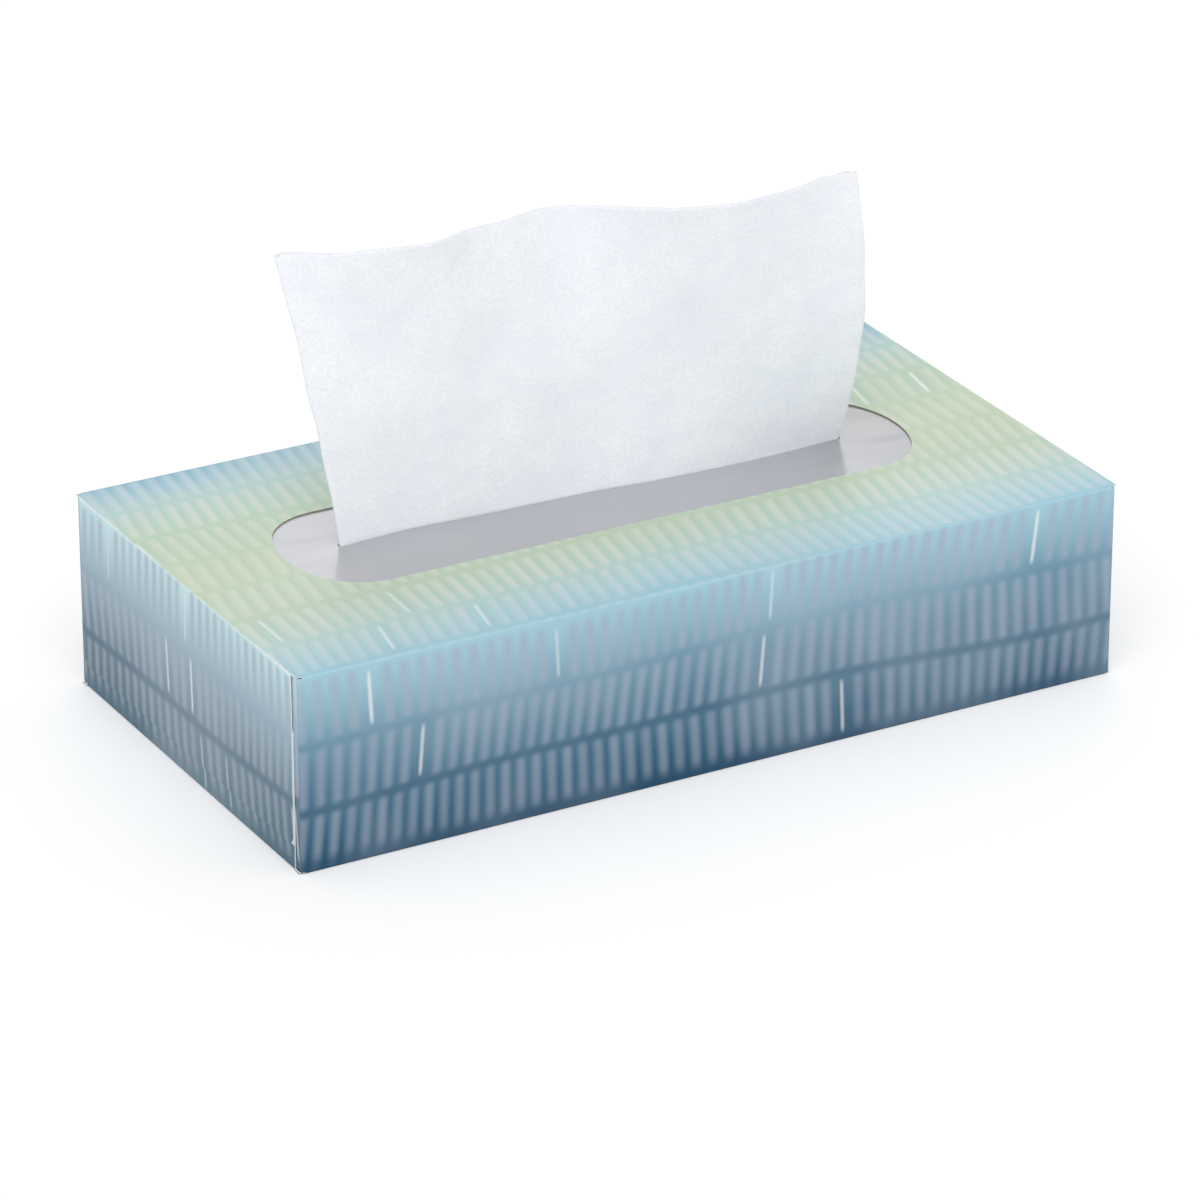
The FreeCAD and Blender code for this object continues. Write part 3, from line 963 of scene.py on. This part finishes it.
# %% Tissue paper finish
PAPER_SHADE = ink(242, 244, 249)
PAPER_LIGHT = ink(249, 249, 251)
PAPER_MOTTLE = ink(231, 236, 244)
PATCH_SCALE = 0.045
PATCH_BAND = (0.3, 0.68)
PATCH_HEIGHT = 1.2
CLOUD_SCALE = 0.2
CLOUD_BAND = (0.3, 0.7)
CLOUD_SHARE = 0.24
CLOUD_HEIGHT = 0.12
SPECK_SCALE = 1.1
SPECK_BAND = (0.34, 0.66)
SPECK_SHARE = 0.5
CREPE_DRAWN = (0.35, 1.6, 1.0)
CREPE_SCALE = 1.9
CREPE_HEIGHT = 0.05


def tissue_paper():
    material, tree, shader = new_finish("tissue_paper")
    place = in_mm(tree.node("ShaderNodeUVMap", {"uv_map": FLAT_MAP}))
    clouds = cloud(place, CLOUD_SCALE, 4.0)
    crepe = cloud(stretched(place, CREPE_DRAWN), CREPE_SCALE, 3.0)
    patches = cloud(place, PATCH_SCALE, 3.0)
    specks = cloud(place, SPECK_SCALE, 4.0)
    colour = patches.rising(*PATCH_BAND).blend(PAPER_SHADE, PAPER_LIGHT)
    mottle = clouds.rising(*CLOUD_BAND) * CLOUD_SHARE + specks.rising(*SPECK_BAND) * SPECK_SHARE
    mottle.blend(colour, PAPER_MOTTLE).feeds(shader, "Base Color")
    shader.inputs["Roughness"].default_value = 0.9
    shader.inputs["Specular IOR Level"].default_value = 0.25
    shader.inputs["Sheen Weight"].default_value = 0.15
    height = crepe * CREPE_HEIGHT + clouds * CLOUD_HEIGHT + patches * PATCH_HEIGHT
    relief(height, 0.8).feeds(shader, "Normal")
    return material


standing_sheet.data.materials.append(tissue_paper())
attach(standing_sheet, "root")
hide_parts("top_tissue")
print("the standing sheet has the finish", standing_sheet.data.materials[0].name)

# %% [markdown]
# ## The stack
#
# The rest of the tissues lie inside, folded in half and into each other. Their folds make the two long
# sides of the stack: soft ribs, of a few sheets each. The ends are cut straight. Each sheet could be a piece
# of its own, but a block with its long sides pushed out and in, rib by rib, is enough, because the stack is
# hardly ever seen.

# %% Stack of sheets
RIBS = 22
RIB_STEPS = 6
RIB_DEPTH = 0.45
LENGTH_STEPS = 24
EDGE_ROUNDING = 0.0008
FOLD_SCATTER = 0.25
SCATTER_WAVES = (40, 30)  # over the stack's whole length and height


def make_stack():
    shape = bmesh.new()
    bmesh.ops.create_cube(shape, size=1.0)
    upright = [e for e in shape.edges if abs(e.verts[0].co.z - e.verts[1].co.z) > 0.5]
    bmesh.ops.subdivide_edges(shape, edges=upright, cuts=RIBS * RIB_STEPS - 1, use_grid_fill=True)
    lengthways = [e for e in shape.edges if abs(e.verts[0].co.x - e.verts[1].co.x) > 0.5]
    bmesh.ops.subdivide_edges(shape, edges=lengthways, cuts=LENGTH_STEPS, use_grid_fill=True)
    size = stack_high - stack_low
    middle = (stack_high + stack_low) / 2
    for vertex in shape.verts:
        share = vertex.co.z + 0.5
        swell = math.sin(math.pi * share)
        rib = abs(math.sin(math.pi * share * RIBS))
        reach = size.y / 2 - RIB_DEPTH * MM * (1 - rib) - EDGE_ROUNDING * (1 - swell)
        scatter_place = Vector((vertex.co.x * SCATTER_WAVES[0], share * SCATTER_WAVES[1], 0.0))
        reach -= abs(noise.noise(scatter_place)) * FOLD_SCATTER * MM
        side = 1 if vertex.co.y > 0 else -1
        vertex.co = Vector((middle.x + vertex.co.x * size.x, middle.y + side * reach,
                            middle.z + vertex.co.z * size.z))
    bmesh.ops.recalc_face_normals(shape, faces=shape.faces)
    thing = link_piece("folded_stack", shape)
    print("stack:", len(thing.data.polygons), "faces,", RIBS, "ribs a side")
    return thing


folded_stack = make_stack()

# %% [markdown]
# ### Layered paper
#
# Seen from the side, the stack is many thin edges of paper. A noise drawn out along the layers gives their
# fine lines of light and shade.

# %% Layered paper finish
LAYER_SHADE = ink(226, 230, 236)
LAYER_LIGHT = ink(245, 247, 250)
LAYERS_DRAWN = (0.05, 0.05, 3.0)


def layered_paper():
    material, tree, shader = new_finish("layered_paper")
    place, _ = place_in_mm(tree)
    layers = cloud(stretched(place, LAYERS_DRAWN), 1.0, 3.0)
    layers.blend(LAYER_SHADE, LAYER_LIGHT).feeds(shader, "Base Color")
    shader.inputs["Roughness"].default_value = 0.92
    relief(layers * 0.2, 0.6).feeds(shader, "Normal")
    return material


folded_stack.data.materials.append(layered_paper())
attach(folded_stack, "root")
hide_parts("tissue_stack")
print("the standing sheet rests on the stack and the film")

# %% [markdown]
# ## The floor
#
# The box stands on a white table that runs out of the picture. The floor takes the soft shadow. A little
# glow, seen by the camera alone, brings it up to white.

# %% Floor
FLOOR_HALF = 6.0
FLOOR_CLOUDS = 5.0  # in a metre
FLOOR_TONES = ((0.80, 0.80, 0.80, 1.0), (0.82, 0.82, 0.82, 1.0))
NO_GLOW = (0.0, 0.0, 0.0, 1.0)
FLOOR_GLOW = (0.24, 0.24, 0.24, 1.0)


def floor_finish():
    material, tree, shader = new_finish("floor_white")
    shader.inputs["Roughness"].default_value = 0.9
    shader.inputs["Specular IOR Level"].default_value = 0.1
    cloud(own_place(tree), FLOOR_CLOUDS, 2.0).blend(*FLOOR_TONES).feeds(shader, "Base Color")
    seen = tree.node("ShaderNodeLightPath")
    seen.blend(NO_GLOW, FLOOR_GLOW).feeds(shader, "Emission Color")
    shader.inputs["Emission Strength"].default_value = 1.0
    return material


floor_shape = bmesh.new()
bmesh.ops.create_grid(floor_shape, x_segments=1, y_segments=1, size=FLOOR_HALF)
floor = link_piece("floor", floor_shape)
floor.data.materials.append(floor_finish())
print("floor of", 2 * FLOOR_HALF, "m")

# %% [markdown]
# ## The light
#
# The picture has the even light of a white room. A photograph of a room could give it, but the film would
# then mirror that room, so the world is a plain white. It is weaker as a light than where the camera or a
# mirror looks past the floor. A broad soft sun from the front left makes the side that faces it the lighter
# one, and a white panel behind the box gives the film something bright to mirror.

# %% Light
ROOM_LIGHT = 0.7
SUN_LIGHT = 1.2
SUN_PLACE = (-0.7, -1.2, 1.4)
SUN_ANGLE = math.radians(60)
PANEL_LIGHT = 2.2
PANEL_DISTANCE = 1.6
LAMP_TARGET = Vector((0.0, 0.0, 0.03))

world = bpy.data.worlds.new("white_room")
bpy.context.scene.world = world
world.use_nodes = True
background = world.node_tree.nodes["Background"]
seen = Signal(world.node_tree).node("ShaderNodeLightPath")
shown = seen.most(seen.twin("Is Glossy Ray")).most(seen.twin("Is Transmission Ray"))
shown.between(ROOM_LIGHT, 1.0).feeds(background, "Strength")
background.inputs["Color"].default_value = (1.0, 1.0, 1.0, 1.0)


def add_lamp(name, kind, energy, place, **settings):
    data = bpy.data.lights.new(name, kind)
    data.energy = energy
    for key, value in settings.items():
        setattr(data, key, value)
    lamp = bpy.data.objects.new(name, data)
    lamp.location = place
    lamp.rotation_euler = (Vector(place) - LAMP_TARGET).to_track_quat("Z", "Y").to_euler()
    bpy.context.scene.collection.objects.link(lamp)
    print("lamp", name, energy)


add_lamp("soft_sun", "SUN", SUN_LIGHT, SUN_PLACE, angle=SUN_ANGLE)
mirrored = Vector((away.x * -1, away.y * -1, away.z))
panel_place = mirrored * PANEL_DISTANCE
add_lamp("back_panel", "AREA", PANEL_LIGHT, panel_place, shape="RECTANGLE", size=1.0, size_y=0.6)

bpy.context.scene.view_settings.view_transform = "Standard"
